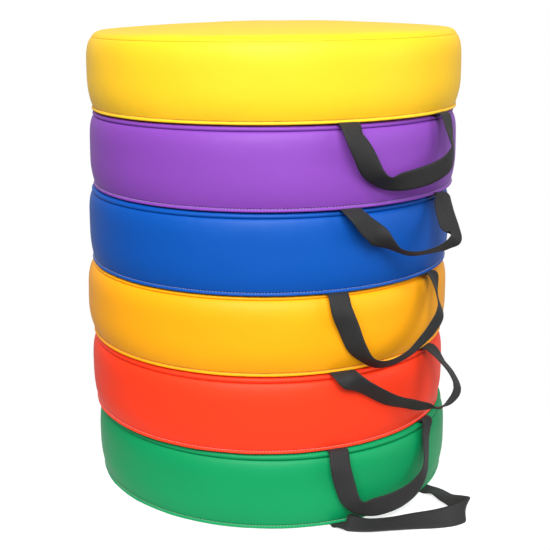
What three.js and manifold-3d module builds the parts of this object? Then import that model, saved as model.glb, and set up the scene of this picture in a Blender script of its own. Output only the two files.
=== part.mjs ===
// A stack of six round foam floor pads, each in its own colour and each with a webbing carry handle.
// Units are millimetres and +Z is up. The origin is the centre of the lowest pad's underside, and the
// handles face +X. Every pad is a foam core in a sewn cover: a top panel, a side band and a bottom
// panel. Its handle is one strip of webbing whose two ends are caught in the lower seam. The strip is
// modelled as three pieces: two sewn ends that stay with the pad, and the free loop that swings.

import * as THREE from 'three';
import { mergeVertices } from 'three/addons/utils/BufferGeometryUtils.js';
import Module from 'manifold-3d';

const wasm = await Module();
wasm.setup();

// Pad
const rimRadius = 186.5;          // lower rim, where the bottom panel and the side band are sewn
const bulgeRadius = 190;          // side band at half height
const grooveRadius = 185.2;       // just above the lower rim
const topSeamRadius = 184;        // where the top panel meets the side band
const padPitch = 77.2;            // height that one pad adds to the stack
const coverThickness = 1.2;       // coated fabric with its foam-side backing
const gap = 0.3;                  // running gap between pieces that touch
const facets = 32;

// Lower seam, from the floor up: bottom panel, webbing end, flange of the side band
const flangeTop = 3.9;
const grooveHeight = 4.8;
const webBottom = coverThickness + gap;
const bulgeHeight = 37;

// Handle
const webWidth = 20;
const webThickness = 1.5;
const handleHalfAngle = 18.5;     // degrees from the middle of the handle to each sewn end
const hingeRadius = 190.5;        // where the free webbing leaves the sewn end
const sewnEndLength = 18;
const hingeGap = 1;               // between a sewn end and the free loop, for the swing
const webSteps = 22;
const webColour = 0x2b2b2d;

// The top panel is domed where nothing lies on it, and pressed almost flat inside the stack.
const pressedTop = { seam: 74, rise: 2.6, roundness: 12 };
const freeTop = { seam: 71.6, rise: 12.4, roundness: 2.6 };

// The pads from the floor up. shift is how far the pad lies off the stack's axis, and turn is its
// angle about its own axis, in degrees. Each handle route starts at the sewn end on the -Y side.
// A route point is [x, y, z] from the pad's own axis and underside, and then the direction across
// the webbing there.
const pads = [
  {
    name: 'green', colour: 0x12a266, shift: [0, 0], turn: 0.3, top: pressedTop, endSide: 1,
    route: [
      [[194, -60, 5], [0, 10, 2]], [[208, -50, 5.5], [-3, 9, 2]], [[219, -34, 6], [-5, 8, 2]],
      [[227, -17, 7], [-7, 6, 3]], [[235, 1, 9], [-7, 4, 6]], [[242, 21, 12], [-4, 1, 9]],
      [[242, 38, 12], [-1, 1, 10]], [[235, 51, 12], [1, 4, 9]], [[222, 55, 11], [-1, 6, 8]],
      [[209, 57, 8], [0, 8, 5]], [[197, 61, 5], [1, 9, 2]],
    ],
  },
  {
    name: 'red', colour: 0xee3524, shift: [-2.9, -3.6], turn: 0.5, top: pressedTop, endSide: -1,
    route: [
      [[188, -64, -13], [4, 9, 0]], [[191, -61, -30.5], [6, 7, 3]], [[195, -56, -48.5], [8, 4, 5]],
      [[198, -47, -56.5], [5, 0, 8]], [[202, -32, -59], [1, 0, 10]], [[204, -14, -60], [0, 0, 10]],
      [[204, 6, -59], [0, -2, 10]], [[203, 25, -53.5], [1, -5, 8]], [[200, 40, -43], [3, -7, 7]],
      [[195, 51, -28.5], [4, -8, 5]], [[190, 55, -15], [4, -9, 3]],
    ],
  },
  {
    name: 'orange', colour: 0xfb9a0f, shift: [-3, -3.7], turn: 1, top: pressedTop, endSide: 1,
    route: [
      [[191, -56, -4.5], [5, 8, 3]], [[197, -40, -16.5], [6, 5, 6]], [[201, -14, -31.5], [5, 5, 7]],
      [[202, 12, -44.5], [1, 6, 8]], [[206, 30, -50], [-4, 9, 3]], [[213, 42, -50], [-5, 8, -2]],
      [[218, 53, -43], [-4, 7, -6]], [[217, 63, -33], [-2, 8, -5]], [[209, 64, -21], [-4, 9, -3]],
      [[198, 60, -9], [-5, 9, -2]],
    ],
  },
  {
    name: 'blue', colour: 0x0a50b4, shift: [-1.8, -2.2], turn: -0.9, top: pressedTop, endSide: -1,
    route: [
      [[188, -62, -13], [4, 9, 1]], [[191, -56, -30], [7, 7, 2]], [[194, -49, -48.5], [8, 4, 4]],
      [[196, -39, -61.5], [9, 0, 4]], [[199, -25, -69], [7, -4, 6]], [[202, -10, -69.5], [5, -7, 5]],
      [[206, 5, -64], [5, -7, 5]], [[207, 21, -55], [4, -8, 5]], [[206, 35, -44], [3, -8, 6]],
      [[202, 47, -31.5], [3, -8, 6]], [[194, 54, -17.5], [6, -7, 4]],
    ],
  },
  {
    name: 'purple', colour: 0x7f3fb0, shift: [0.7, 0.9], turn: 1.5, top: pressedTop, endSide: -1,
    route: [
      [[189, -59, -5.5], [0, 10, 1]], [[192, -53, -13], [-1, 9, 5]], [[194, -44, -20.5], [2, 6, 8]],
      [[197, -34, -30], [7, -3, 6]], [[200, -23, -37.5], [7, -6, 4]], [[206, -7, -43], [7, -6, 4]],
      [[212, 11, -42.5], [6, -7, 4]], [[219, 26, -37.5], [4, -8, 5]], [[221, 36, -30.5], [1, -9, 3]],
      [[212, 43, -23], [-3, -10, 0]], [[198, 52, -12], [-2, -10, 0]],
    ],
  },
  {
    name: 'yellow', colour: 0xfad808, shift: [1.4, 1.8], turn: -0.1, top: freeTop, endSide: -1,
    route: [
      [[190, -63, -9.5], [1, 10, 0]], [[195, -57, -23.5], [3, 9, 4]], [[197, -45, -43.5], [8, 5, 3]],
      [[198, -32, -53], [8, -1, 6]], [[200, -15, -55.5], [4, -3, 9]], [[201, 6, -55], [2, -2, 10]],
      [[201, 30, -51], [1, -3, 9]], [[199, 48, -43], [2, -6, 8]], [[195, 59, -31.5], [5, -7, 5]],
      [[192, 60, -16.5], [5, -9, 1]],
    ],
  },
];

const material = (colour, roughness) => new THREE.MeshStandardMaterial({ color: colour, roughness });

const radians = THREE.MathUtils.degToRad;

// A solid of revolution about +Z. The outline is [radius, height] points, upwards on the outside.
function turned(outline) {
  const points = outline.map(([radius, height]) => new THREE.Vector2(radius, height));
  return new THREE.LatheGeometry(points, facets).rotateX(Math.PI / 2);
}

// Merged positions only, which is what a boolean and a shared-vertex solid both need.
function merged(geometry) {
  const bare = geometry.clone();
  bare.deleteAttribute('normal');
  bare.deleteAttribute('uv');
  return mergeVertices(bare, 1e-4);
}

function toManifold(geometry) {
  const bare = merged(geometry);
  const kept = [];
  const index = bare.getIndex().array;
  for (let i = 0; i < index.length; i += 3) {
    const [a, b, c] = index.slice(i, i + 3);
    if (a !== b && b !== c && c !== a) kept.push(a, b, c);
  }
  const vertProperties = new Float32Array(bare.getAttribute('position').array);
  return new wasm.Manifold(new wasm.Mesh({ numProp: 3, vertProperties, triVerts: new Uint32Array(kept) }));
}

function fromManifold(solid) {
  const mesh = solid.getMesh();
  const geometry = new THREE.BufferGeometry();
  geometry.setAttribute('position', new THREE.BufferAttribute(mesh.vertProperties, 3));
  geometry.setIndex(new THREE.BufferAttribute(mesh.triVerts, 1));
  geometry.computeVertexNormals();
  return geometry;
}

const topHeight = (top, radius) =>
  top.seam + gap + top.rise * (1 - (radius / topSeamRadius) ** top.roundness);

function topPanel(top) {
  const radii = [topSeamRadius, 172, 130, 70];
  const outside = radii.map((radius) => [radius, topHeight(top, radius)]);
  const crownHeight = topHeight(top, 70);
  const inside = outside.slice(1).reverse().map(([radius, height]) => [radius, height - coverThickness]);
  const innerEdge = [topSeamRadius - coverThickness, top.seam + gap];
  return turned([
    [0, crownHeight - coverThickness], ...inside, innerEdge, ...outside, [0, crownHeight],
  ]);
}

// The box that one sewn end fills, grown by margin on every side that touches the cover.
function sewnEndBox(side, margin) {
  const length = sewnEndLength + 2 * margin;
  const box = new THREE.BoxGeometry(length, webWidth + 2 * margin, webThickness + 2 * margin);
  box.translate(hingeRadius - hingeGap - sewnEndLength / 2, 0, webBottom + webThickness / 2);
  return box.rotateZ(radians(side * handleHalfAngle));
}

// The side band bulges at half height. Its flange is pocketed where the two webbing ends pass out.
function sideBand(top) {
  const band = turned([
    [topSeamRadius, webBottom], [rimRadius, webBottom], [rimRadius, flangeTop],
    [grooveRadius, grooveHeight], [bulgeRadius, bulgeHeight], [topSeamRadius, top.seam],
    [topSeamRadius - coverThickness, top.seam], [bulgeRadius - coverThickness, bulgeHeight],
    [topSeamRadius, grooveHeight + coverThickness], [topSeamRadius, webBottom],
  ]);
  let solid = toManifold(band);
  for (const side of [-1, 1]) {
    solid = solid.subtract(toManifold(sewnEndBox(side, gap)));
  }
  return fromManifold(solid);
}

const bottomPanel = () =>
  turned([[0, 0], [rimRadius, 0], [rimRadius, coverThickness], [0, coverThickness]]);

function foamCore(top) {
  const base = webBottom + webThickness + gap;
  const side = topSeamRadius - gap;
  const belowTop = (radius) => [radius, topHeight(top, radius) - coverThickness - gap];
  return turned([
    [0, base], [side, base], [side, grooveHeight + coverThickness],
    [bulgeRadius - coverThickness - gap, bulgeHeight],
    [topSeamRadius - coverThickness - 2 * gap, top.seam - 2 * gap],
    belowTop(170), belowTop(130), belowTop(70), [0, belowTop(70)[1]],
  ]);
}

// Where the free webbing starts or ends: level, pointing straight out of the seam.
function loopEnd(side, reach) {
  const angle = radians(side * handleHalfAngle);
  const radius = hingeRadius + reach;
  return new THREE.Vector3(Math.cos(angle) * radius, Math.sin(angle) * radius, webBottom + webThickness / 2);
}

function loopEndAcross(side, sense) {
  const angle = radians(side * handleHalfAngle);
  return new THREE.Vector3(-Math.sin(angle), Math.cos(angle), 0).multiplyScalar(10 * sense);
}

// A flat strip swept along a route. Its width follows the across direction, squared to the route.
// Opposite faces are cut along the same diagonal, so that they stay apart where the strip twists.
function webbing(places, acrosses) {
  const path = new THREE.CatmullRomCurve3(places, false, 'centripetal');
  const across = new THREE.CatmullRomCurve3(acrosses, false, 'catmullrom');
  const positions = [];
  for (let step = 0; step <= webSteps; step += 1) {
    const t = step / webSteps;
    const centre = path.getPoint(t);
    const along = path.getTangent(t);
    const wide = across.getPoint(t);
    wide.addScaledVector(along, -wide.dot(along)).normalize();
    const thick = new THREE.Vector3().crossVectors(along, wide);
    for (const [u, v] of [[-1, -1], [1, -1], [1, 1], [-1, 1]]) {
      const corner = centre.clone();
      corner.addScaledVector(wide, (u * webWidth) / 2).addScaledVector(thick, (v * webThickness) / 2);
      positions.push(corner.x, corner.y, corner.z);
    }
  }
  const index = [0, 2, 1, 0, 3, 2];
  for (let step = 0; step < webSteps; step += 1) {
    for (let side = 0; side < 4; side += 1) {
      const a = step * 4 + side;
      const b = step * 4 + ((side + 1) % 4);
      if (side < 2) index.push(a, b, b + 4, a, b + 4, a + 4);
      else index.push(a, b, a + 4, b, b + 4, a + 4);
    }
  }
  const last = webSteps * 4;
  index.push(last, last + 1, last + 2, last, last + 2, last + 3);
  const geometry = new THREE.BufferGeometry();
  geometry.setAttribute('position', new THREE.Float32BufferAttribute(positions, 3));
  geometry.setIndex(index);
  geometry.computeVertexNormals();
  return geometry;
}

function handleLoop({ route, endSide }) {
  const places = route.map(([place]) => new THREE.Vector3(...place));
  const acrosses = route.map(([, across]) => new THREE.Vector3(...across));
  places.unshift(loopEnd(-1, 0), loopEnd(-1, 3));
  acrosses.unshift(loopEndAcross(-1, 1), loopEndAcross(-1, 1));
  places.push(loopEnd(1, 3), loopEnd(1, 0));
  acrosses.push(loopEndAcross(1, endSide), loopEndAcross(1, endSide));
  return webbing(places, acrosses);
}

function addPiece(group, name, geometry, look) {
  const mesh = new THREE.Mesh(geometry, look);
  mesh.name = name;
  group.add(mesh);
}

function buildPad(pad, level) {
  const group = new THREE.Group();
  group.position.set(...pad.shift, level * padPitch);
  group.rotation.z = radians(pad.turn);
  addPiece(group, `${pad.name}_top_panel`, topPanel(pad.top), material(pad.colour, 0.4));
  addPiece(group, `${pad.name}_side_band`, sideBand(pad.top), material(pad.colour, 0.4));
  addPiece(group, `${pad.name}_bottom_panel`, bottomPanel(), material(pad.colour, 0.45));
  addPiece(group, `${pad.name}_foam_core`, foamCore(pad.top), material(0xe9dfb8, 0.95));
  addPiece(group, `${pad.name}_handle_loop`, handleLoop(pad), material(webColour, 0.8));
  addPiece(group, `${pad.name}_handle_sewn_end_left`, sewnEndBox(-1, 0), material(webColour, 0.8));
  addPiece(group, `${pad.name}_handle_sewn_end_right`, sewnEndBox(1, 0), material(webColour, 0.8));
  return group;
}

const stack = new THREE.Group();
pads.forEach((pad, level) => stack.add(buildPad(pad, level)));

export default stack;
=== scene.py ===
"""A stack of six round vinyl floor pads with webbing handles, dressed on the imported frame.

Lengths are written in millimetres in a pad's own frame (the axis at x = y = 0, the underside at
z = 0) and become metres in the frame's space when a mesh is made. The studio is in metres.
"""
import math

import bpy
import numpy as np
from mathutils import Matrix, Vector


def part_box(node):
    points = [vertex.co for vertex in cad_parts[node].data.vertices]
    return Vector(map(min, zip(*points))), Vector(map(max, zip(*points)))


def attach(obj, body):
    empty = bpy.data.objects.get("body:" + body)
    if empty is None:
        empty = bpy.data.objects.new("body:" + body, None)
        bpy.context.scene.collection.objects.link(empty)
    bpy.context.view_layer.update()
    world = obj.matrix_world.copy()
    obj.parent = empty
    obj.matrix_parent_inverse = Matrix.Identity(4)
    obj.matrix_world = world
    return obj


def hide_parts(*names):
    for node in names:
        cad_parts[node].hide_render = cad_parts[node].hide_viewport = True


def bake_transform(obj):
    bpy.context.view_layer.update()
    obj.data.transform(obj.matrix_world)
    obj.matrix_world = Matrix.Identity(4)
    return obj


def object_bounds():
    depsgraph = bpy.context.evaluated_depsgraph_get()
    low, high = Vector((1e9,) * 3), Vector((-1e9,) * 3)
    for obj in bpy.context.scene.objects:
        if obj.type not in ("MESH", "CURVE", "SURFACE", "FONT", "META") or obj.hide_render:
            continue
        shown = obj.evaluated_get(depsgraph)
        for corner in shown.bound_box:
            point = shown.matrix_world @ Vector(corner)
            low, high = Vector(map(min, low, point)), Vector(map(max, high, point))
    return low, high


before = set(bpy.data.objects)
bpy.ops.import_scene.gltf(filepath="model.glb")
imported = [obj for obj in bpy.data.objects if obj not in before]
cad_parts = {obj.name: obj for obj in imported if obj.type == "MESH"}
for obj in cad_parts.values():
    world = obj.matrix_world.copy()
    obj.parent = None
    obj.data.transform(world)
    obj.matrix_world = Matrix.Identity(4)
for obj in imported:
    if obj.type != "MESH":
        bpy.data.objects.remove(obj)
cad_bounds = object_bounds()

MM = 0.001
PADS = ["green", "red", "orange", "blue", "purple", "yellow"]  # from the floor up
FLOOR_PAD = PADS[0]
FREE_PAD = PADS[-1]  # the one that carries nothing

# ---------------------------------------------------------------- sizes (mm)

LIP_RADIUS = 186.3  # the folded edge of the bottom seam
GROOVE_RADIUS = 185.0  # where the band leaves the bottom seam
GROOVE_HEIGHT = 3.9
CREASE_RADIUS = 184.2  # the seam between the band and the top panel
BULGE_POWER_ABOVE = 4.6  # the band stands fuller above than below
BULGE_POWER_BELOW = 2.8
VINYL = 1.2

# Height of each pad's top seam, and how far the weight above squeezes the edge out over it.
SEAM_HEIGHT = {"green": 70.4, "red": 70.6, "orange": 73.4, "blue": 71.6, "purple": 71.9, "yellow": 71.8}
EDGE_PUFF = {"green": 3.5, "red": 3.3, "orange": 1.6, "blue": 2.3, "purple": 2.3}
PRESSED_TOP = 76.9
SEAM_BITE_FREE = 0.5  # how far the top seam pulls in on the free pad
SEAM_BITE_PRESSED = 1.3
DOME_EDGE = 5.2  # the free pad's top swells by this close to its seam
DOME_CROWN = 7.6  # and by this much more towards its middle

FOAM_CLEARANCE = 1.6
FOAM_CORNER = 1.5

WEB_WIDTH = 20.0
WEB_THICKNESS = 1.5
WEB_EXIT_HEIGHT = 1.0  # where the strap leaves the seam
WEB_CAUGHT = 17.0  # how much of each end is caught in the seam
HANDLE_HALF_ANGLE = math.radians(18.5)
HINGE_RADIUS = 190.5
HINGE_HEIGHT = 2.25

COLUMNS = 384
VIEW_ANGLE = math.radians(-39)  # the side of the stack that faces the camera

# Base colour (linear), radius at the fullest place of the band, turn of the pad in degrees, the
# side of the webbing that faces out at its far end, and the handle's route as [place], [across].
PAD = {
    "green": dict(
        colour=(0.001, 0.285, 0.094), fullest=189.0, turn=0.3, end_side=1,
        route=[
            ([187, -58, 5], [-3, 8, 4.5]), ([200, -46, 3.8], [-6, 5, 1.6]),
            ([213, -26, 3.8], [-7, 4.5, 1.5]), ([225, -5.5, 4.8], [-7, 4.3, 3.2]),
            ([238, 13.5, 6.4], [-6, 3.5, 5]), ([246, 28, 8.4], [-5, 2.5, 7.2]),
            ([247, 40, 9], [-3.5, 2.5, 8.5]), ([240, 50, 8.5], [-0.5, 6, 7]),
            ([226, 55, 6.5], [0, 9, 3.5]), ([210, 57, 4.5], [0, 10, 0]),
            ([196, 60, 3.5], [-2, 10, -1.5]),
        ],
    ),
    "red": dict(
        colour=(0.97, 0.045, 0.010), fullest=188.7, turn=0.5, end_side=-1,
        route=[
            ([188, -64, -13], [4, 9, 0]), ([191, -61, -30.5], [6, 7, 3]), ([195, -56, -48], [8, 4, 5]),
            ([198, -47, -55.8], [5, 0, 8]), ([202, -32, -58.2], [1, 0, 10]),
            ([204, -14, -59.2], [0, 0, 10]), ([204, 6, -58.4], [0, -2, 10]),
            ([203, 25, -53.5], [1, -5, 8]), ([200, 40, -43], [3, -7, 7]),
            ([193.5, 49, -28.5], [4, -8, 5]), ([188.5, 53, -15], [4, -9, 3]),
        ],
    ),
    "orange": dict(
        colour=(1.0, 0.40, 0.004), fullest=190.2, turn=1, end_side=-1,
        route=[
            ([191, -56, -4.5], [6, 7, 3]), ([197, -40, -15], [8, 3, 5]), ([201, -14, -31], [8, 2, 6]),
            ([202, 12, -41.5], [8, -1, 7]), ([206, 30, -48], [6.5, -3.8, 6.6]),
            ([213, 42, -49.5], [5, -8, 2]), ([218, 53, -43], [4, -7, 6]), ([217, 63, -33], [2, -8, 5]),
            ([209, 64, -21], [4, -9, 3]), ([198, 60, -9], [5, -9, 2]),
        ],
    ),
    "blue": dict(
        colour=(0.0003, 0.078, 0.40), fullest=188.2, turn=-0.9, end_side=-1,
        route=[
            ([188, -62, -13], [4, 9, 1]), ([191, -56, -30], [7, 7, 2]), ([194, -49, -48.5], [8, 4, 4]),
            ([196, -39, -61.5], [9, 0, 4]), ([199, -25, -69], [7, -4, 6]),
            ([202, -10, -69.5], [5, -7, 5]), ([206, 5, -64], [5, -7, 5]), ([207, 21, -55], [4, -8, 5]),
            ([207, 37.5, -43.5], [3, -8, 6]), ([204.5, 50, -31.5], [3, -8, 6]),
            ([195, 54.5, -17], [6, -7, 4]),
        ],
    ),
    "purple": dict(
        colour=(0.235, 0.060, 0.43), fullest=188.7, turn=1.5, end_side=-1,
        route=[
            ([189, -59, -5.5], [0, 10, 1]), ([192, -53, -13], [-1, 8, 6]), ([194, -44, -20.5], [0, 4, 9]),
            ([197, -34, -30], [5, -3, 7]), ([200, -23, -37.5], [7, -6, 4]), ([206, -7, -43], [7, -6, 4]),
            ([212, 11, -42.5], [6, -7, 4]), ([219, 26, -37.5], [4, -8, 5]), ([220, 34.5, -32], [1, -9, 3]),
            ([209.5, 40, -24.5], [-3, -10, 0]), ([195.5, 48.5, -12], [-2, -10, 0]),
        ],
    ),
    "yellow": dict(
        colour=(1.0, 0.58, 0.018), fullest=189.5, turn=-0.1, end_side=-1,
        route=[
            ([190, -63, -9.5], [1, 10, 0]), ([195, -57, -23.5], [3, 9, 4]),
            ([197, -45, -43.5], [8, 5, 3]), ([198, -32, -52], [8, -1, 6]), ([200, -15, -53], [4, -3, 9]),
            ([201, 6, -52], [2, -2, 10]), ([201, 30, -48.5], [1, -3, 9]),
            ([200, 48.5, -41.5], [2, -6, 8]), ([195, 59, -31.5], [5, -7, 5]), ([191, 58, -15], [4, -9, 2]),
        ],
    ),
}

# ---------------------------------------------------------------- places

LEAN = 0.0105  # slope of the top pad's seams, up to the camera's right; the floor pad lies level
CAMERA_RIGHT = (math.cos(VIEW_ANGLE + math.pi / 2), math.sin(VIEW_ANGLE + math.pi / 2))
stack_height = cad_bounds[1][2] - cad_bounds[0][2]


def pad_origin(pad):
    """The middle of a pad's underside, in metres."""
    low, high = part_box(f"{pad}_bottom_panel")
    return np.array([(low[0] + high[0]) / 2, (low[1] + high[1]) / 2, low[2]])


def to_frame(pad, points, turned=False):
    """Millimetres in a pad's own frame to metres in the frame, with the stack's slight lean."""
    p = np.asarray(points, float) * MM
    if turned:
        a = math.radians(PAD[pad]["turn"])
        x, y = p[..., 0].copy(), p[..., 1].copy()
        p[..., 0] = x * math.cos(a) - y * math.sin(a)
        p[..., 1] = x * math.sin(a) + y * math.cos(a)
    p = p + pad_origin(pad)
    across = p[..., 0] * CAMERA_RIGHT[0] + p[..., 1] * CAMERA_RIGHT[1]
    p[..., 2] += LEAN * (p[..., 2] / stack_height) * across
    return p


# ---------------------------------------------------------------- mesh helpers


def make_mesh(name, vertices, faces, uvs=None, smooth=True):
    """A mesh object from arrays; uvs holds one pair for each face corner."""
    mesh = bpy.data.meshes.new(name)
    mesh.from_pydata(vertices.reshape(-1, 3).tolist(), [], faces)
    if uvs is not None:
        layer = mesh.uv_layers.new(name="UVMap")
        layer.data.foreach_set("uv", np.asarray(uvs, np.float32).ravel())
    mesh.polygons.foreach_set("use_smooth", [smooth] * len(mesh.polygons))
    mesh.update()
    obj = bpy.data.objects.new(name, mesh)
    bpy.context.collection.objects.link(obj)
    return obj


def grid_faces(rows, columns, first=0):
    """Quads between neighbouring rings, for the given number of gaps between them."""
    faces = []
    for i in range(rows):
        a, b = first + i * columns, first + (i + 1) * columns
        for j in range(columns):
            k = (j + 1) % columns
            faces.append((a + j, a + k, b + k, b + j))
    return faces


def rings(values, columns):
    """A column of values, one for each ring, spread round the circle."""
    return np.array(values, float)[:, None] * np.ones(columns)


def revolved(name, pad, radius, height, poles):
    """A closed skin from rows of rings. With poles, the first and last rows close in a point
    on the axis; without, the last row joins the first and the skin is a ring."""
    rows, columns = radius.shape
    angle = np.linspace(0, 2 * math.pi, columns, endpoint=False)
    grid = np.stack([radius * np.cos(angle), radius * np.sin(angle), height], axis=-1)
    vertices = grid.reshape(-1, 3)
    faces = grid_faces(rows - 1, columns)
    end = (rows - 1) * columns
    if poles:
        first, final = len(vertices), len(vertices) + 1
        tips = [[0, 0, height[0].mean()], [0, 0, height[-1].mean()]]
        vertices = np.vstack([vertices, tips])
    for j in range(columns):
        k = (j + 1) % columns
        if poles:
            faces.append((first, k, j))
            faces.append((final, end + j, end + k))
        else:
            faces.append((end + j, end + k, k, j))
    return make_mesh(name, to_frame(pad, vertices), faces)


def periodic_noise(rng, angle, waves, falloff=1.0):
    """A smooth seamless wobble of about unit height round the circle."""
    total = np.zeros_like(angle)
    for n in waves:
        total += rng.normal() * n ** -falloff * np.cos(n * angle + rng.uniform(0, 2 * math.pi))
    return total / max(1e-9, np.abs(total).max())


def smoothstep(x, low, high):
    t = np.clip((x - low) / (high - low), 0, 1)
    return t * t * (3 - 2 * t)


# ---------------------------------------------------------------- materials

VINYL_GLOSS = 0.22
VINYL_ROUGHNESS = (0.46, 0.58)
THREAD_PALENESS = 0.28
WARM_THREAD_PALENESS = 0.1  # the thread stands out less on orange and yellow


def new_material(name):
    """A material with its Principled node, and helpers that add a node and link two."""
    material = bpy.data.materials.new(name)
    material.use_nodes = True
    tree = material.node_tree
    shader = tree.nodes["Principled BSDF"]

    def add(kind, **values):
        node = tree.nodes.new(kind)
        for key, value in values.items():
            if key in node.inputs:
                node.inputs[key].default_value = value
            else:
                setattr(node, key, value)
        return node

    return material, shader, add, tree.links.new


def set_inputs(node, values):
    """Default values for the inputs whose names hold spaces."""
    for key, value in values.items():
        node.inputs[key].default_value = value


def tinted(add, link, factor, dark, light, target):
    """Mix two colours by a factor into a colour input."""
    tint = add("ShaderNodeMix", data_type="RGBA")
    tint.inputs[6].default_value = (*dark, 1)
    tint.inputs[7].default_value = (*light, 1)
    link(factor, tint.inputs[0])
    link(tint.outputs[2], target)


def ramped(add, link, factor, dark, light, target):
    """Run a factor through a ramp of two colours into a colour input."""
    ramp = add("ShaderNodeValToRGB")
    ramp.color_ramp.elements[0].color = (*dark, 1)
    ramp.color_ramp.elements[1].color = (*light, 1)
    link(factor, ramp.inputs["Fac"])
    link(ramp.outputs["Color"], target)


def bumped(add, link, height, strength, distance, target):
    """Turn a height into a normal for a normal input."""
    bump = add("ShaderNodeBump", Strength=strength, Distance=distance)
    link(height, bump.inputs["Height"])
    link(bump.outputs["Normal"], target)
    return bump


def vinyl_material(pad):
    """Coated fabric: a fine pebbled grain, faint cloudiness and a satin gloss."""
    material, shader, add, link = new_material(f"{pad}_vinyl_cover")
    colour = PAD[pad]["colour"]
    where = add("ShaderNodeTexCoord")
    cloud = add("ShaderNodeTexNoise", Scale=14.0, Detail=3.0, Roughness=0.5)
    link(where.outputs["Object"], cloud.inputs["Vector"])
    dark = [c * 0.94 for c in colour]
    light = [min(1, c * 1.04) for c in colour]
    tinted(add, link, cloud.outputs["Fac"], dark, light, shader.inputs["Base Color"])

    gloss = add("ShaderNodeMapRange")
    set_inputs(gloss, {"To Min": VINYL_ROUGHNESS[0], "To Max": VINYL_ROUGHNESS[1]})
    link(cloud.outputs["Fac"], gloss.inputs["Value"])
    link(gloss.outputs["Result"], shader.inputs["Roughness"])
    shader.inputs["Specular IOR Level"].default_value = VINYL_GLOSS

    grain = add("ShaderNodeTexVoronoi", Scale=950.0)
    waves = add("ShaderNodeTexNoise", Scale=60.0, Detail=2.0)
    for node in (grain, waves):
        link(where.outputs["Object"], node.inputs["Vector"])
    fine = bumped(add, link, grain.outputs["Distance"], 0.10, 0.00012, shader.inputs["Normal"])
    bumped(add, link, waves.outputs["Fac"], 0.10, 0.0012, fine.inputs["Normal"])
    return material


def thread_material(pad):
    """Polyester thread, a paler tone of the cover, with its twist as a bump."""
    material, shader, add, link = new_material(f"{pad}_seam_thread")
    pale = WARM_THREAD_PALENESS if pad in ("orange", "yellow") else THREAD_PALENESS
    colour = [min(1.0, 0.6 * c + pale) for c in PAD[pad]["colour"]]
    where = add("ShaderNodeTexCoord")
    twist = add("ShaderNodeTexNoise", Scale=1500.0, Detail=1.0)
    link(where.outputs["Object"], twist.inputs["Vector"])
    dark = [c * 0.85 for c in colour]
    tinted(add, link, twist.outputs["Fac"], dark, colour, shader.inputs["Base Color"])
    bumped(add, link, twist.outputs["Fac"], 0.4, 0.0001, shader.inputs["Normal"])
    shader.inputs["Roughness"].default_value = 0.6
    return material


def webbing_material():
    """Black polypropylene webbing: cross ribs, lengthwise cords and fibre noise, along its UVs,
    which are in metres."""
    material, shader, add, link = new_material("handle_webbing")
    uv = add("ShaderNodeUVMap", uv_map="UVMap")
    band = dict(wave_type="BANDS")
    ribs = add("ShaderNodeTexWave", bands_direction="X", Scale=210.0, Distortion=0.6, **band)
    cords = add("ShaderNodeTexWave", bands_direction="Y", Scale=190.0, Distortion=0.4, **band)
    fibre = add("ShaderNodeTexNoise", Scale=900.0, Detail=3.0)
    for node in (ribs, cords, fibre):
        link(uv.outputs["UV"], node.inputs["Vector"])
    weave = add("ShaderNodeMath", operation="MULTIPLY")
    link(ribs.outputs["Fac"], weave.inputs[0])
    link(cords.outputs["Fac"], weave.inputs[1])
    height = add("ShaderNodeMath", operation="MULTIPLY_ADD")
    height.inputs[1].default_value = 0.35
    link(fibre.outputs["Fac"], height.inputs[0])
    link(weave.outputs["Value"], height.inputs[2])
    dark, light = (0.004, 0.004, 0.005), (0.034, 0.0335, 0.033)
    ramped(add, link, height.outputs["Value"], dark, light, shader.inputs["Base Color"])
    bumped(add, link, height.outputs["Value"], 0.5, 0.0004, shader.inputs["Normal"])
    set_inputs(shader, {"Roughness": 0.72, "Specular IOR Level": 0.35})
    set_inputs(shader, {"Sheen Weight": 0.03, "Sheen Roughness": 0.5})
    return material


def foam_material():
    """Open-cell foam, seen only if a cover is taken off."""
    material, shader, add, link = new_material("polyurethane_foam")
    where = add("ShaderNodeTexCoord")
    cells = add("ShaderNodeTexVoronoi", Scale=700.0)
    link(where.outputs["Object"], cells.inputs["Vector"])
    dark, light = (0.30, 0.27, 0.19), (0.72, 0.68, 0.55)
    ramped(add, link, cells.outputs["Distance"], dark, light, shader.inputs["Base Color"])
    bumped(add, link, cells.outputs["Distance"], 0.6, 0.0006, shader.inputs["Normal"])
    shader.inputs["Roughness"].default_value = 0.9
    return material


# ---------------------------------------------------------------- cloth

SIM_COLUMNS = 216
SIM_ROWS = 15
SIM_FRAMES = 16
SIM_SPACING = 100  # the strips are simulated one above another, this far apart
SIM_UNEVENNESS = 0.18
SIM_EXTRA_CLOTH = 0.018
SIM_CAP = 1.1  # how far slack may stand off the fitted surface
SLACK_SHARE = 0.16  # the real covers are pulled tighter than the strips


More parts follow.
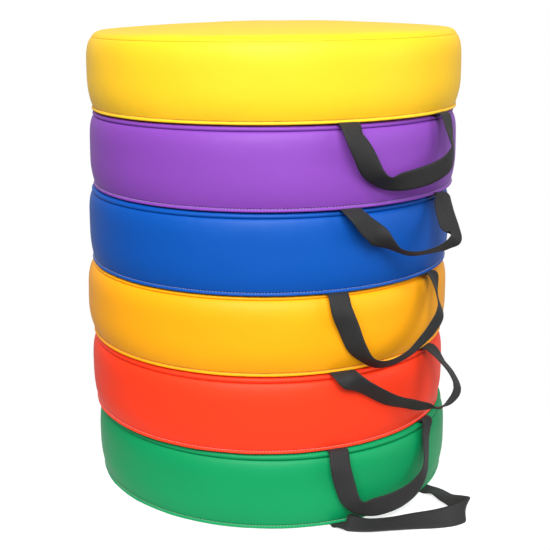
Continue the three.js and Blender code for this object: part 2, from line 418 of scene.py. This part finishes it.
def slack_strips():
    """One coarse strip for each band, pinned along both seams, all in one mesh."""
    angle = np.linspace(0, 2 * math.pi, SIM_COLUMNS, endpoint=False)
    vertices, faces, pinned = [], [], []
    for level, pad in enumerate(PADS):
        rng = np.random.default_rng(40 + level)
        first = len(vertices)
        for row in range(SIM_ROWS):
            t = row / (SIM_ROWS - 1)
            height = GROOVE_HEIGHT + t * (SEAM_HEIGHT[pad] - GROOVE_HEIGHT) + SIM_SPACING * level
            uneven = rng.normal(0, SIM_UNEVENNESS, SIM_COLUMNS) * math.sin(math.pi * t)
            radius = GROOVE_RADIUS + uneven
            if row in (0, SIM_ROWS - 1):
                pinned += range(len(vertices), len(vertices) + SIM_COLUMNS)
            up = np.full(SIM_COLUMNS, height)
            ring = np.stack([radius * np.cos(angle), radius * np.sin(angle), up], 1)
            vertices += (ring * MM).tolist()
        faces += grid_faces(SIM_ROWS - 1, SIM_COLUMNS, first)
    strips = make_mesh("slack_strips", np.array(vertices), faces)
    strips.vertex_groups.new(name="seams").add(pinned, 1.0, "REPLACE")
    return strips


def slack_from_cloth():
    """How the bands' slack settles under pressure, as an offset in mm for each pad.

    The strips are cut a little too long for their pinned seams, as a sewn cover is, and blown
    against them. Their mean shape is fitted elsewhere, so only the departures from it are kept.
    """
    strips = slack_strips()
    cloth = strips.modifiers.new("Cloth", "CLOTH")
    settings = cloth.settings
    settings.quality = 5
    settings.mass = 0.25
    settings.tension_stiffness = 12
    settings.compression_stiffness = 6
    settings.shear_stiffness = 4
    settings.bending_stiffness = 0.6
    settings.tension_damping = 8
    settings.compression_damping = 8
    settings.vertex_group_mass = "seams"
    settings.shrink_min = -SIM_EXTRA_CLOTH
    settings.shrink_max = -SIM_EXTRA_CLOTH
    settings.use_pressure = True
    settings.uniform_pressure_force = 2.5
    settings.effector_weights.gravity = 0
    cloth.point_cache.frame_start = 1
    cloth.point_cache.frame_end = SIM_FRAMES
    scene = bpy.context.scene
    for number in range(1, SIM_FRAMES + 1):
        scene.frame_set(number)
    settled = strips.evaluated_get(bpy.context.evaluated_depsgraph_get())
    flat = np.zeros(len(settled.data.vertices) * 3)
    settled.data.vertices.foreach_get("co", flat)
    places = flat.reshape(len(PADS), SIM_ROWS, SIM_COLUMNS, 3) / MM
    bpy.data.objects.remove(strips)
    scene.frame_set(1)
    slack = {}
    for level, pad in enumerate(PADS):
        radius = np.hypot(places[level, ..., 0], places[level, ..., 1])
        offset = radius - radius.mean(axis=1, keepdims=True)
        slack[pad] = SLACK_SHARE * SIM_CAP * np.tanh(offset / SIM_CAP)
    return slack


def resampled(field, rows, columns):
    """A field on rows by a closed circle, smoothly enlarged: Fourier round, spline up."""
    source = field.shape[1]
    spectrum = np.fft.rfft(field, axis=1)
    wide = np.zeros((field.shape[0], columns // 2 + 1), complex)
    wide[:, : spectrum.shape[1]] = spectrum
    ringed = np.fft.irfft(wide, columns, axis=1) * columns / source
    edge = field.shape[0] - 1
    at = np.asarray(rows) * edge
    i = np.clip(at.astype(int), 0, edge - 1)
    f = (at - i)[:, None]
    p0, p1, p2, p3 = (ringed[np.clip(i + k, 0, edge)] for k in (-1, 0, 1, 2))
    return 0.5 * (
        2 * p1 + (p2 - p0) * f + (2 * p0 - 5 * p1 + 4 * p2 - p3) * f**2
        + (3 * p1 - p0 - 3 * p2 + p3) * f**3
    )


# ---------------------------------------------------------------- covers

ANGLE = np.linspace(0, 2 * math.pi, COLUMNS, endpoint=False)
BAND_RISE = 67.0  # the band's height between its seams, for the reach of puckers
TUCK = 1.6  # how far the band's top edge turns in behind the seam
TUCK_RADIUS = 182.2  # where its bottom edge ends inside the bottom seam


def crease_depth(pad, level):
    """How deeply the top seam bites round the pad, 0 to 1. On the free pad it is pulled flat
    where the cover is tightest."""
    rng = np.random.default_rng(70 + level)
    depth = 0.72 + 0.28 * periodic_noise(rng, ANGLE, range(2, 14), 0.8)
    if pad == FREE_PAD:
        side = np.degrees((ANGLE - VIEW_ANGLE + math.pi) % (2 * math.pi) - math.pi)
        tight = smoothstep(side, -22, -8) * (1 - smoothstep(side, 42, 56))
        depth = depth * (1 - tight)
    return np.clip(depth, 0, 1)


def seam_bite(pad, level):
    """How far the top seam pulls in round the pad, in mm."""
    most = SEAM_BITE_FREE if pad == FREE_PAD else SEAM_BITE_PRESSED
    return most * crease_depth(pad, level)


def seam_puckers(rng, amplitude):
    """Short gathers beside a seam, stronger in some stretches than in others."""
    fine = periodic_noise(rng, ANGLE, range(48, 110), 0.3)
    stretch = 0.5 + 0.5 * periodic_noise(rng, ANGLE, range(2, 12), 0.5)
    return amplitude * fine * np.clip(stretch, 0.1, 1)


def beside(distance, fade, start):
    """A weight that rises from 0 at a seam within about start mm and fades out over fade mm."""
    return np.exp(-distance / fade) * (1 - np.exp(-distance / start))


def band_surface(pad, level, slack):
    """Rows of the side band, up its outer face and down its inner one."""
    fullest = PAD[pad]["fullest"]
    rng = np.random.default_rng(10 + level)
    bite = seam_bite(pad, level)

    near_low = np.linspace(0, 0.12, 10)
    middle = np.linspace(0.12, 0.88, 26)
    near_high = np.linspace(0.88, 1, 12)
    t = np.concatenate([near_low[:-1], middle, near_high[1:]])
    chord = GROOVE_RADIUS + (CREASE_RADIUS - GROOVE_RADIUS) * t
    off_middle = np.abs(2 * t - 1)
    power = np.where(t > 0.5, BULGE_POWER_ABOVE, BULGE_POWER_BELOW)
    bulge = (fullest - (GROOVE_RADIUS + CREASE_RADIUS) / 2) * (1 - off_middle**power)
    radius = rings(chord + bulge, COLUMNS)
    height = rings(GROOVE_HEIGHT + 0.1 + t * (SEAM_HEIGHT[pad] - 0.15 - GROOVE_HEIGHT), COLUMNS)

    t = t[:, None]
    radius += resampled(slack, t[:, 0], COLUMNS) * np.sin(math.pi * t) ** 0.5
    for halves, waves, amount in ((1, range(2, 9), 0.45), (2, range(6, 22), 0.25)):
        radius += amount * periodic_noise(rng, ANGLE, waves, 0.6) * np.sin(halves * math.pi * t)
    above_seam, below_seam = BAND_RISE * t, BAND_RISE * (1 - t)
    radius += seam_puckers(rng, 0.55) * beside(above_seam, 6.0, 1.2)
    radius += seam_puckers(rng, 0.45) * beside(below_seam, 5.0, 1.2)
    # the seam bites in where the crease is deep, and rounds over where it is pulled flat
    radius -= bite * np.exp(-below_seam / 1.0)

    low_r = rings([TUCK_RADIUS], COLUMNS)
    low_z = rings([GROOVE_HEIGHT + 0.35], COLUMNS)
    high_r = radius[-1:] - TUCK
    high_z = height[-1:] - 0.1
    # the inner face has fewer rows
    picked = (40, 30, 20, 10, 5)
    inner_r = [high_r - 0.3] + [radius[i : i + 1] - VINYL for i in picked] + [low_r - 0.1]
    inner_z = [high_z - VINYL] + [height[i : i + 1] for i in picked] + [low_z + VINYL]
    return np.vstack([low_r, radius, high_r] + inner_r), np.vstack([low_z, height, high_z] + inner_z)


def top_surface(pad, level):
    """Rows of the top panel, from the middle of its upper face to the middle of its lower."""
    rng = np.random.default_rng(20 + level)
    seam = SEAM_HEIGHT[pad] + 0.05
    edge = CREASE_RADIUS - 0.15
    close = [0, 0.25, 0.6, 1.1, 1.8, 2.7, 3.8, 5.2, 7, 9.5, 13, 18, 25]
    inset = np.concatenate([close, np.linspace(35, 178, 16)])[::-1][:, None]
    r = (edge - inset) * np.ones(COLUMNS)
    if pad == FREE_PAD:
        swell = DOME_EDGE * (1 - np.exp(-inset / 3.2))
        crown = DOME_CROWN * (1 - (1 - inset / edge) ** 2)
        z = (seam + swell + crown) * np.ones(COLUMNS)
        reach = smoothstep(inset, 0, 14) * smoothstep(edge - inset, 0, 90)
        for waves, amount in ((range(2, 7), 0.5), (range(5, 16), 0.35)):
            z += amount * periodic_noise(rng, ANGLE, waves, 0.7) * reach
        z += seam_puckers(rng, 0.5) * beside(inset, 6, 1.5)
    else:
        # squeezed between the seam and the pad above, the edge puffs out over the seam
        z = (seam + (PRESSED_TOP - seam) * (1 - np.exp(-inset / 1.2))) * np.ones(COLUMNS)
        r += EDGE_PUFF[pad] * beside(inset, 3.5, 0.4)
        z += seam_puckers(rng, 0.3) * beside(inset, 3, 1.0)
        z = np.minimum(z, PRESSED_TOP)
    r -= seam_bite(pad, level) * np.exp(-inset / 0.7)

    tuck_r = r[-1:] - 1.5
    tuck_z = z[-1:] + 0.05
    picked = (25, 21, 17, 12, 6, 0)
    inner_r = np.vstack([tuck_r - 0.2] + [r[i : i + 1] - 0.4 for i in picked])
    inner_z = np.vstack([tuck_z + 0.25] + [z[i : i + 1] - VINYL for i in picked])
    # the face turned down must not drop below the tuck beside the seam, nor rise to the outer face
    inner_z = np.maximum(inner_z, tuck_z + 0.2)
    inner_z[1:] = np.minimum(inner_z[1:], np.vstack([z[i : i + 1] - 0.35 for i in picked]))
    return np.vstack([r, tuck_r, inner_r]), np.vstack([z, tuck_z, inner_z])


def bottom_surface(level):
    """Rows of the bottom panel with the lip of its seam, from the middle of its upper face,
    round the lip, to the middle of its lower face."""
    rng = np.random.default_rng(30 + level)
    section = [
        (2, 1.5), (60, 1.5), (120, 1.5), (168, 1.5), (176, 1.7), (181.5, 2.4),
        (183.2, 3.4), (184.5, 3.7), (185.3, 3.55), (185.85, 3.25), (186.15, 2.8),
        (LIP_RADIUS, 2.3), (LIP_RADIUS, 1.8), (186.15, 1.35), (185.7, 1.0), (185, 0.75),
        (183, 0.45), (176, 0.25), (120, 0.25), (60, 0.25), (2, 0.25),
    ]
    r = rings([place[0] for place in section], COLUMNS)
    z = rings([place[1] for place in section], COLUMNS)
    out = smoothstep(r, 182, 186)
    r += out * (0.35 * periodic_noise(rng, ANGLE, range(3, 30), 0.5) + seam_puckers(rng, 0.25))
    z += out * smoothstep(z, 2.5, 4.0) * 0.18 * periodic_noise(rng, ANGLE, range(20, 80), 0.3)
    return r, z


def foam_surface(pad):
    """Rows of the foam disc: flat faces and a softened edge, inside the cover."""
    free = pad == FREE_PAD
    top = SEAM_HEIGHT[pad] + 0.3 if free else PRESSED_TOP - 2.5
    face = top - 1.6
    crown = 4.5 if free else 0.6
    radius = GROOVE_RADIUS - VINYL - FOAM_CLEARANCE - FOAM_CORNER
    section = [
        (2, face + crown), (120, face + 0.55 * crown), (170, face), (177, top - 2.4), (180.2, top - 5),
        (radius, top - 9), (radius, 36), (radius, 9.5), (180.2, 6.0), (177, 3.9), (170, 3.4),
        (100, 3.4), (2, 3.4),
    ]
    columns = COLUMNS // 4
    return rings([place[0] for place in section], columns), rings([place[1] for place in section], columns)


STITCH_PITCH = 3.0
STITCH_LENGTH = 2.0
STITCH_RADIUS = 0.32
STITCH_SIDES = 6
# Places along one stitch: where, how thick, and how far it stands out of the vinyl.
STITCH_SHAPE = [
    (-0.5, 0.35, -0.45), (-0.38, 0.85, -0.1), (0, 1.0, 0.15), (0.38, 0.85, -0.1), (0.5, 0.35, -0.45),
]


def stitches(name, pad, level):
    """The row of thread that holds the bottom seam, one small capsule for each stitch."""
    rng = np.random.default_rng(50 + level)
    radius, height = GROOVE_RADIUS + 0.35, GROOVE_HEIGHT - 0.1
    count = int(2 * math.pi * radius / STITCH_PITCH)
    around = np.linspace(0, 2 * math.pi, STITCH_SIDES, endpoint=False)
    vertices, faces = [], []
    for n in range(count):
        middle = 2 * math.pi * (n + rng.uniform(-0.06, 0.06)) / count
        lift = rng.uniform(-0.08, 0.08)
        base = len(vertices)
        for along, thick, proud in STITCH_SHAPE:
            angle = middle + along * STITCH_LENGTH / radius
            for side in around:
                r = radius + proud + STITCH_RADIUS * thick * math.cos(side)
                z = height + lift + STITCH_RADIUS * thick * math.sin(side)
                vertices.append((r * math.cos(angle), r * math.sin(angle), z))
        for i in range(len(STITCH_SHAPE) - 1):
            p, q = base + i * STITCH_SIDES, base + (i + 1) * STITCH_SIDES
            for j in range(STITCH_SIDES):
                k = (j + 1) % STITCH_SIDES
                faces.append((p + j, q + j, q + k, p + k))
        end = len(vertices) - STITCH_SIDES
        faces.append(tuple(base + j for j in range(STITCH_SIDES)))
        faces.append(tuple(end + j for j in reversed(range(STITCH_SIDES))))
    return make_mesh(name, to_frame(pad, np.array(vertices)), faces)


# ---------------------------------------------------------------- handles

WEB_STEPS = 220
WEB_SECTION = 10  # faces across the webbing
WEB_SELVEDGE = 0.25  # half the thickness that is left at its edges
FLOOR_GAP = 0.1  # between the floor and the handle that lies on it


def between(low, high, k0, k1, s):
    """The value at s on the line from low at k0 to high at k1."""
    return (k1 - s) / (k1 - k0) * low + (s - k0) / (k1 - k0) * high


def spline(points, centripetal=True):
    """Catmull-Rom through the points, in 24 steps from each to the next."""
    p = np.asarray(points, float)
    p = np.vstack([2 * p[0] - p[1], p, 2 * p[-1] - p[-2]])
    fine = []
    for i in range(1, len(p) - 2):
        q = p[i - 1 : i + 3]
        gaps = np.linalg.norm(np.diff(q, axis=0), axis=1) ** (0.5 if centripetal else 0)
        k = np.concatenate([[0], np.cumsum(np.maximum(gaps, 1e-6))])
        for s in np.linspace(k[1], k[2], 24, endpoint=False):
            a = [between(q[j], q[j + 1], k[j], k[j + 1], s) for j in range(3)]
            b = [between(a[j], a[j + 1], k[j], k[j + 2], s) for j in range(2)]
            fine.append(between(b[0], b[1], k[1], k[2], s))
    fine.append(p[-2])
    return np.array(fine)


def sewn_end(side, reach, drop, sense):
    """A place on one sewn end and the direction across it."""
    a = side * HANDLE_HALF_ANGLE
    r = HINGE_RADIUS + reach
    place = [r * math.cos(a), r * math.sin(a), WEB_EXIT_HEIGHT - drop]
    across = [-10 * math.sin(a) * sense, 10 * math.cos(a) * sense, 0]
    return place, across


def strap_path(pad):
    """The strap's places and the directions across it, as even steps along its length."""
    spec = PAD[pad]
    caught = ((-WEB_CAUGHT, 0), (-9, 0), (-3.5, 0), (0.2, 0.4))
    start = [sewn_end(-1, reach, drop, 1) for reach, drop in caught]
    end = [sewn_end(1, reach, drop, spec["end_side"]) for reach, drop in caught[::-1]]
    path = start + spec["route"] + end
    line = spline([place for place, _ in path])
    side = spline([np.array(across, float) / np.linalg.norm(across) for _, across in path], False)
    step = np.linalg.norm(np.diff(line, axis=0), axis=1)
    run = np.concatenate([[0], np.cumsum(step)])
    at = np.linspace(0, run[-1], WEB_STEPS)
    line = np.stack([np.interp(at, run, line[:, c]) for c in range(3)], 1)
    side = np.stack([np.interp(at, run, side[:, c]) for c in range(3)], 1)
    return line, side, at


def strap_section():
    """A flat section with rounded selvedges, as places across and through the webbing."""
    half, thin = WEB_WIDTH / 2, WEB_THICKNESS / 2
    upper = []
    for u in np.linspace(-1, 1, WEB_SECTION + 1):
        h = thin * (1 - abs(u) ** 12) ** 0.5 if abs(u) < 1 else 0
        upper.append((half * u, max(h, WEB_SELVEDGE)))
    return upper + [(u, -h) for u, h in upper[::-1]]


def strap(name, pad):
    """One handle: a flat strap from the sewn end, round its loop and back into the seam."""
    line, side, at = strap_path(pad)
    tangent = np.gradient(line, axis=0)
    tangent /= np.linalg.norm(tangent, axis=1, keepdims=True)
    side -= (side * tangent).sum(1, keepdims=True) * tangent
    side /= np.linalg.norm(side, axis=1, keepdims=True)
    normal = np.cross(tangent, side)

    section = strap_section()
    count = len(section)
    vertices = np.concatenate([
        line[i] + np.array([u * side[i] + h * normal[i] for u, h in section]) for i in range(WEB_STEPS)
    ])
    if pad == FLOOR_PAD:
        vertices[:, 2] = np.maximum(vertices[:, 2], FLOOR_GAP)
    edges = [math.dist(section[i], section[(i + 1) % count]) for i in range(count)]
    girth = np.concatenate([[0], np.cumsum(edges)]) * MM
    reach = at * MM
    faces, uvs = [], []
    for i in range(WEB_STEPS - 1):
        a, b = i * count, (i + 1) * count
        x0, x1 = reach[i], reach[i + 1]
        for j in range(count):
            k = (j + 1) % count
            y0, y1 = girth[j], girth[j + 1]
            faces.append((a + j, b + j, b + k, a + k))
            uvs += [(x0, y0), (x1, y0), (x1, y1), (x0, y1)]
    last = (WEB_STEPS - 1) * count
    for cap in (range(count), reversed(range(last, last + count))):
        corners = tuple(cap)
        faces.append(corners)
        uvs += [(0, girth[corner % count]) for corner in corners]
    return make_mesh(name, to_frame(pad, vertices, turned=True), faces, uvs)


# ---------------------------------------------------------------- the stack

BLEND_BEFORE, BLEND_AFTER = 1.5, 2.5  # a stretch either side of the strap's hinge; dress_handle works out its ends, but nothing uses them


def finish_piece(piece, pad, node, material):
    """Put a cover or core on its pad in place of the solid that it replaces."""
    piece.data.materials.append(material)
    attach(piece, f"{pad}_pad")
    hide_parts(f"{pad}_{node}")


def dress_pad(level, pad, slack, foam):
    """The cover, the core and the seam's thread of one pad."""
    vinyl = vinyl_material(pad)
    band = revolved(f"{pad}_band_cover", pad, *band_surface(pad, level, slack), poles=False)
    top = revolved(f"{pad}_top_cover", pad, *top_surface(pad, level), poles=True)
    bottom = revolved(f"{pad}_bottom_cover", pad, *bottom_surface(level), poles=True)
    core = revolved(f"{pad}_foam", pad, *foam_surface(pad), poles=True)
    for piece, node in ((band, "side_band"), (top, "top_panel"), (bottom, "bottom_panel")):
        finish_piece(piece, pad, node, vinyl)
    finish_piece(core, pad, "foam_core", foam)

    thread = stitches(f"{pad}_seam_stitches", pad, level)
    thread.data.materials.append(thread_material(pad))
    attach(thread, f"{pad}_pad")


def dress_handle(pad, webbing):
    """One strap, baked into the frame's space in place of the solid handle pieces; the bend points about
    its hinge are worked out but nothing uses them.
    """
    handle = strap(f"{pad}_handle_strap", pad)
    handle.data.materials.append(webbing)
    hinge = HINGE_RADIUS * math.cos(HANDLE_HALF_ANGLE)
    bend = [[hinge - BLEND_BEFORE, 0, HINGE_HEIGHT], [hinge + BLEND_AFTER, 0, HINGE_HEIGHT]]
    still, swinging = to_frame(pad, bend, turned=True)
    tuple(still)
    tuple(swinging)
    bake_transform(handle)
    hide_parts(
        f"{pad}_handle_loop", f"{pad}_handle_sewn_end_left", f"{pad}_handle_sewn_end_right"
    )


webbing = webbing_material()
foam = foam_material()
slack = slack_from_cloth()
for level, pad in enumerate(PADS):
    dress_pad(level, pad, slack[pad], foam)
    dress_handle(pad, webbing)

# ---------------------------------------------------------------- camera (m)

CAMERA_DISTANCE = 1.1139
CAMERA_SIDE = 0.0035
CAMERA_HEIGHT = 0.4966
CAMERA_PITCH = math.radians(14.73)
CAMERA_LENS = 69.83

facing = Vector((math.cos(VIEW_ANGLE), math.sin(VIEW_ANGLE), 0))
rightward = Vector((*CAMERA_RIGHT, 0))
up = Vector((0, 0, 1))


def add_camera():
    data = bpy.data.cameras.new("camera")
    data.lens = CAMERA_LENS
    data.sensor_width = 36
    camera = bpy.data.objects.new("camera", data)
    camera.location = facing * CAMERA_DISTANCE + rightward * CAMERA_SIDE + up * CAMERA_HEIGHT
    looking = -facing * math.cos(CAMERA_PITCH) - up * math.sin(CAMERA_PITCH)
    camera.rotation_euler = looking.to_track_quat("-Z", "Y").to_euler()
    bpy.context.collection.objects.link(camera)
    bpy.context.scene.camera = camera


# ---------------------------------------------------------------- studio (m)

FLOOR_SIZE = 3.0
FLOOR_COVER = 0.5  # how much of the floor is paper close to the stack
FLOOR_FADE = (0.26, 0.36)  # it turns clear between these distances from the middle
FLOOR_GLOW = 0.35
ROOM_BELOW = 0.24  # the room's light from below, from above and added straight behind the stack
ROOM_ABOVE = 0.22
ROOM_BEHIND = 0.6


def floor():
    """White paper that only takes shadows near the stack; further out the white behind shows
    through it, so that it has no horizon."""
    half = FLOOR_SIZE / 2
    corners = np.array([[-half, -half, 0], [half, -half, 0], [half, half, 0], [-half, half, 0]], float)
    plane = make_mesh("studio_floor", corners, [(0, 1, 2, 3)], smooth=False)
    material, shader, add, link = new_material("white_paper")
    set_inputs(shader, {"Base Color": (0.9, 0.9, 0.9, 1), "Roughness": 0.9, "Specular IOR Level": 0.1})
    set_inputs(shader, {"Emission Color": (1, 1, 1, 1), "Emission Strength": FLOOR_GLOW})
    where = add("ShaderNodeTexCoord")
    distance = add("ShaderNodeVectorMath", operation="LENGTH")
    link(where.outputs["Object"], distance.inputs[0])
    fade = add("ShaderNodeMapRange", interpolation_type="SMOOTHSTEP")
    set_inputs(fade, {"From Min": FLOOR_FADE[0], "From Max": FLOOR_FADE[1]})
    set_inputs(fade, {"To Min": FLOOR_COVER, "To Max": 0.0})
    link(distance.outputs["Value"], fade.inputs["Value"])
    clear = add("ShaderNodeBsdfTransparent")
    mix = add("ShaderNodeMixShader")
    link(fade.outputs["Result"], mix.inputs[0])
    link(clear.outputs["BSDF"], mix.inputs[1])
    link(shader.outputs["BSDF"], mix.inputs[2])
    link(mix.outputs["Shader"], material.node_tree.nodes["Material Output"].inputs["Surface"])
    plane.data.materials.append(material)


def soft_box(name, place, target, size, watts):
    """A rectangular area light that faces its target."""
    data = bpy.data.lights.new(name, "AREA")
    data.shape = "RECTANGLE"
    data.size, data.size_y = size
    data.energy = watts
    lamp = bpy.data.objects.new(name, data)
    lamp.location = place
    lamp.rotation_euler = (target - place).to_track_quat("-Z", "Y").to_euler()
    bpy.context.collection.objects.link(lamp)


def studio_world():
    """White behind the stack for the camera. The light that reaches the pads comes from a dim
    white room that is bright straight behind them."""
    world = bpy.data.worlds.new("white_room")
    world.use_nodes = True
    tree = world.node_tree
    tree.nodes.clear()
    link = tree.links.new

    def add(kind, **values):
        node = tree.nodes.new(kind)
        for key, value in values.items():
            setattr(node, key, value)
        return node

    where = add("ShaderNodeTexCoord")
    behind = add("ShaderNodeVectorMath", operation="DOT_PRODUCT")
    behind.inputs[1].default_value = tuple(-facing)
    link(where.outputs["Generated"], behind.inputs[0])
    glow = add("ShaderNodeMapRange", interpolation_type="SMOOTHSTEP")
    set_inputs(glow, {"From Min": 0.35, "From Max": 0.9, "To Min": 0.0, "To Max": ROOM_BEHIND})
    link(behind.outputs["Value"], glow.inputs["Value"])
    axes = add("ShaderNodeSeparateXYZ")
    link(where.outputs["Generated"], axes.inputs[0])
    height = add("ShaderNodeMapRange", interpolation_type="SMOOTHSTEP")
    set_inputs(height, {"From Min": -0.6, "From Max": 0.6, "To Min": ROOM_BELOW, "To Max": ROOM_ABOVE})
    link(axes.outputs["Z"], height.inputs["Value"])
    total = add("ShaderNodeMath", operation="ADD")
    link(glow.outputs["Result"], total.inputs[0])
    link(height.outputs["Result"], total.inputs[1])

    out = add("ShaderNodeOutputWorld")
    seen, cast = add("ShaderNodeBackground"), add("ShaderNodeBackground")
    for node in (seen, cast):
        node.inputs["Color"].default_value = (1, 1, 1, 1)
    link(total.outputs["Value"], cast.inputs["Strength"])
    path = add("ShaderNodeLightPath")
    mix = add("ShaderNodeMixShader")
    link(path.outputs["Is Camera Ray"], mix.inputs["Fac"])
    link(cast.outputs[0], mix.inputs[1])
    link(seen.outputs[0], mix.inputs[2])
    link(mix.outputs[0], out.inputs["Surface"])
    bpy.context.scene.world = world


add_camera()
floor()
studio_world()
middle = up * (stack_height / 2)
key_place = facing * 2.0 - rightward * 0.15 + up * 1.9
side_place = facing * 0.8 + rightward * 2.2 + up * 0.9
soft_box("key_soft_box", key_place, middle, (1.9, 1.5), 108)
soft_box("side_soft_box", side_place, middle, (1.2, 1.4), 16)
bpy.context.scene.view_settings.view_transform = "Standard"
